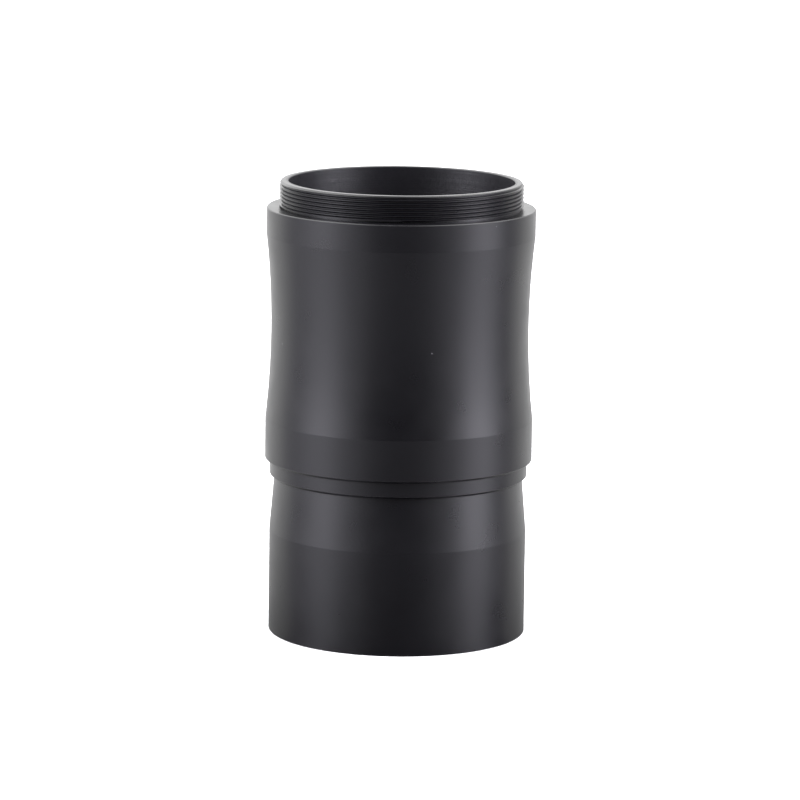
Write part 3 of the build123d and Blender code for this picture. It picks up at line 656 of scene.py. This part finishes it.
def window_glass(material):
    """Clear glass with a faint coating, a little uneven in its polish."""
    finish = Finish(material)
    web = finish.web
    drift = finish.blotches(0.0, 1.0, 300)
    tone = web.blend(drift, colour(0.93, 0.97, 0.97), colour(0.90, 0.95, 0.98))
    polish = web.bump(web.noise(finish.place, 900, 2.0), 0.02, 0.5 * FINE)
    finish.set(Base_Color=tone, Roughness=finish.blotches(0.02, 0.06, 900), Normal=polish)
    finish.set(IOR=1.52, Transmission_Weight=0.9, Coat_Weight=0.3)


def board_green(material):
    """Solder resist over copper tracks, with the glass cloth's weave showing faintly."""
    weave_wave = 7000
    track_pitch = 1.1 * MM
    track_from = 0.75 * MM
    finish, tone = moulded(material, colour(0.03, 0.17, 0.07), 0.32, 4000, 0.06)
    web = finish.web
    across = web.math("SINE", web.math("MULTIPLY", finish.x, weave_wave))
    along = web.math("SINE", web.math("MULTIPLY", finish.y, weave_wave))
    weave = web.spread(web.math("MULTIPLY", across, along), -1.0, 1.0)
    slanted = web.math("ADD", finish.x, web.math("MULTIPLY", finish.y, 0.5))
    bands = web.math("PINGPONG", slanted, track_pitch)
    tracks = web.math("GREATER_THAN", bands, track_from)
    tone = web.blend(web.math("MULTIPLY", tracks, 0.5), tone, colour(0.05, 0.28, 0.10))
    normal = web.bump(weave, 0.1, FINE, web.bump(tracks, 0.3, 1.5 * FINE))
    finish.set(Base_Color=tone, Normal=normal)


def button_red(material):
    """Red cap with a soft gloss, scuffed where a finger presses it."""
    finish, tone = moulded(
        material,
        base=colour(0.46, 0.02, 0.018),
        rough=0.30,
        grain=2400,
        depth=0.08,
        edge=colour(0.58, 0.08, 0.06),
    )
    web = finish.web
    scuffs = web.spread(web.noise(finish.place, 900, 5.0, 0.7), 0.52, 0.66)
    scuffed = web.blend(web.math("MULTIPLY", scuffs, 0.25), tone, colour(0.30, 0.05, 0.045))
    finish.set(Base_Color=scuffed, Coat_Weight=0.25, Coat_Roughness=0.2)


def seal_rubber(material):
    """Nitrile rubber with a trace of grease, so that its gloss is uneven."""
    finish, _ = moulded(material, colour(0.012, 0.012, 0.013), 0.55, 3000, 0.2)
    finish.set(Roughness=finish.blotches(0.30, 0.62, 700))


SPECIAL = {
    "shell_anodised": shell_material,
    "inner_anodised": inner_anodised,
    "cap_anodised": cap_anodised,
    "target_white": target_white,
    "window_glass": window_glass,
    "board_green": board_green,
    "button_red": button_red,
    "seal_rubber": seal_rubber,
}
# Metals: colour, stain, roughness, strength of the turning marks, colour of the worn edges. The
# screws' black oxide is rubbed through to steel along their edges; spring wire has no edges.
METALS = {
    "brass": (
        colour(0.74, 0.55, 0.26), colour(0.50, 0.34, 0.15), 0.30, 0.20, colour(0.88, 0.70, 0.38)
    ),
    "screw_steel": (
        colour(0.10, 0.10, 0.11), colour(0.055, 0.05, 0.05), 0.38, 0.12, colour(0.42, 0.41, 0.40)
    ),
    "washer_steel": (
        colour(0.56, 0.56, 0.57), colour(0.40, 0.39, 0.38), 0.30, 0.12, colour(0.72, 0.72, 0.73)
    ),
    "spring_steel": (colour(0.48, 0.48, 0.50), colour(0.30, 0.28, 0.27), 0.28, 0.08),
    "gold_can": (
        colour(0.86, 0.66, 0.32), colour(0.70, 0.50, 0.22), 0.18, 0.05, colour(0.92, 0.78, 0.50)
    ),
    "nickel": (
        colour(0.64, 0.62, 0.58), colour(0.48, 0.46, 0.42), 0.22, 0.08, colour(0.78, 0.76, 0.72)
    ),
}
# Plastics: colour, roughness, scale and strength of the mould texture, colour of the rubbed edges.
PLASTICS = {
    "chip_black": (colour(0.022, 0.022, 0.024), 0.45, 6000, 0.20, grey(0.06)),
    "cup_plastic": (colour(0.030, 0.030, 0.032), 0.42, 2600, 0.15, grey(0.07)),
    "switch_plastic": (colour(0.026, 0.026, 0.028), 0.48, 3200, 0.20, grey(0.06)),
    "lead_red": (colour(0.50, 0.02, 0.02), 0.45, 5000, 0.12),
    "lead_black": (colour(0.020, 0.020, 0.021), 0.48, 5000, 0.12),
}


def make_material(name):
    material = bpy.data.materials.new(name)
    material.use_nodes = True
    if name in METALS:
        bare_metal(material, *METALS[name])
    elif name in PLASTICS:
        moulded(material, *PLASTICS[name])
    else:
        SPECIAL[name](material)
    return material


def finish_nodes():
    """Give each slot of the record one procedural material, shared by the nodes that use it."""
    made = {}
    slots = {part["node"]: part["material_slot"] for part in frame["record"]["subparts"]}
    for name, node in nodes.items():
        slot_name = slots[name]
        if slot_name not in made:
            made[slot_name] = make_material(slot_name)
        for slot in node.material_slots:
            slot.material = made[slot_name]


make_camera()
make_floor()
make_world()
make_top_light()

finish_nodes()
make_adjuster_springs()
make_switch_spring()

bpy.context.scene.view_settings.view_transform = "Standard"
